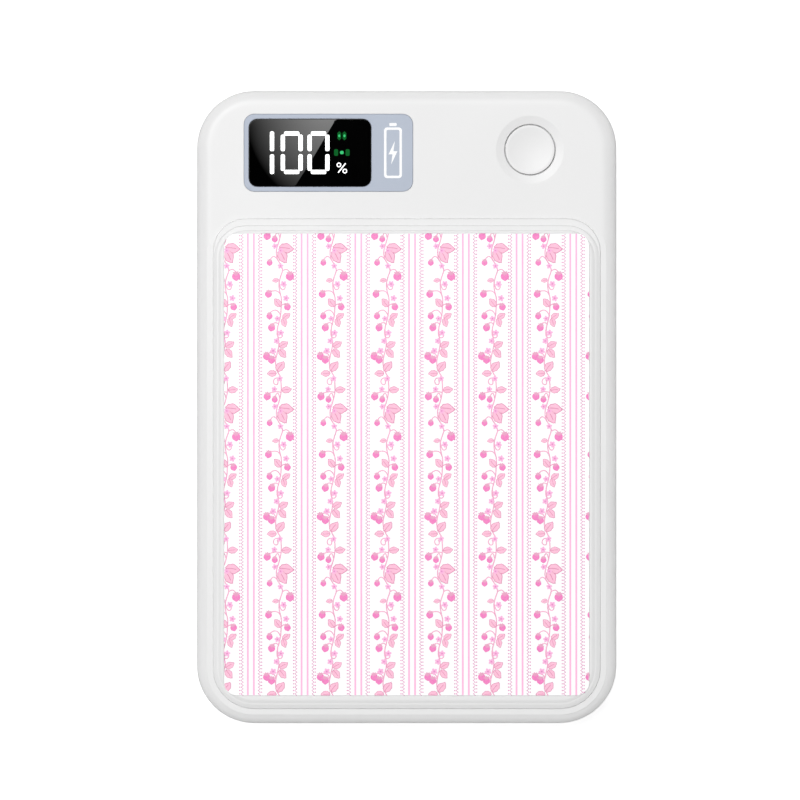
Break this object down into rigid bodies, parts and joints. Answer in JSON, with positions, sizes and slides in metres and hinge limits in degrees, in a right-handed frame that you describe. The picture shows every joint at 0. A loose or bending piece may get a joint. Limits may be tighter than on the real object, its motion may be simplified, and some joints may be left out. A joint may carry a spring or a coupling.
{
  "type": "power bank",
  "caption": "Pocket power bank with a percentage display, a round push button, a printed front panel, end sockets and a magnetic charging back.",
  "frame": {"origin": "centre of the back face, on the surface that the case lies on", "axes": "+Z out of the front face, +Y along the case towards the display and socket end, +X to the right of the display"},
  "size_m": [0.068, 0.1024, 0.0193],
  "materials": {
    "shell": "off-white moulded plastic, satin",
    "print": "white sheet with a pink printed pattern under a clear satin coat",
    "surround": "pale blue-grey painted plastic",
    "window": "smoked black acrylic, polished",
    "display": "dark moulded plastic",
    "foam": "black foam",
    "adhesive": "translucent double-sided tape",
    "board": "green solder mask",
    "steel": "nickel-plated steel",
    "socket_plastic": "black moulded plastic",
    "chip": "black moulded resin",
    "ferrite": "dark grey sintered ferrite",
    "copper": "enamelled copper wire",
    "magnet": "nickel-plated magnet",
    "pouch": "aluminium laminate pouch",
    "tray": "natural moulded plastic",
    "red_wire": "red wire insulation",
    "black_wire": "black insulation or plastic",
    "pad": "soft silicone, matte",
    "capacitor": "tan moulded case"
  },
  "bodies": {
    "case": {"back_housing": "shell", "back_pad": "pad", "battery_cell": "pouch", "battery_foam_back": "foam", "battery_foam_front": "foam", "battery_lead_negative": "black_wire", "battery_lead_positive": "red_wire", "battery_tab_negative": "steel", "battery_tab_positive": "steel", "battery_tray": "tray", "board_screw_1": "steel", "board_screw_2": "steel", "board_screw_3": "steel", "charging_coil": "copper", "coil_lead_inner": "copper", "coil_lead_outer": "copper", "display_module": "display", "display_seal": "foam", "display_surround": "surround", "display_window": "window", "ferrite_shield": "ferrite", "front_housing": "shell", "front_panel": "print", "magnet_01": "magnet", "magnet_02": "magnet", "magnet_03": "magnet", "magnet_04": "magnet", "magnet_05": "magnet", "magnet_06": "magnet", "magnet_07": "magnet", "magnet_08": "magnet", "magnet_09": "magnet", "magnet_10": "magnet", "magnet_11": "magnet", "magnet_12": "magnet", "magnet_13": "magnet", "magnet_14": "magnet", "magnet_15": "magnet", "magnet_yoke": "steel", "main_board": "board", "panel_adhesive": "adhesive", "power_controller": "chip", "power_inductor": "ferrite", "protection_board": "board", "storage_capacitor_1": "capacitor", "storage_capacitor_2": "capacitor", "switch_body": "chip", "switch_dome": "steel", "switch_frame": "steel", "usb_a_shell": "steel", "usb_a_tongue": "socket_plastic", "usb_c_shell": "steel", "usb_c_tongue": "socket_plastic", "wireless_controller": "chip"},
    "power_button": {"button_cap": "shell"},
    "plunger": {"switch_plunger": "black_wire"}
  },
  "joints": [
    {"name": "button_press", "type": "slide", "parent": "case", "child": "power_button", "axis": [0, 0, -1], "range_m": [0, 0.0004], "stiffness_N_per_m": 4000, "deforming": ["switch_dome"]},
    {"name": "plunger_press", "type": "slide", "parent": "case", "child": "plunger", "axis": [0, 0, -1], "range_m": [0, 0.0004]}
  ],
  "couplings": [
    {"joint": "plunger_press", "follows": "button_press", "ratio": 1}
  ]
}
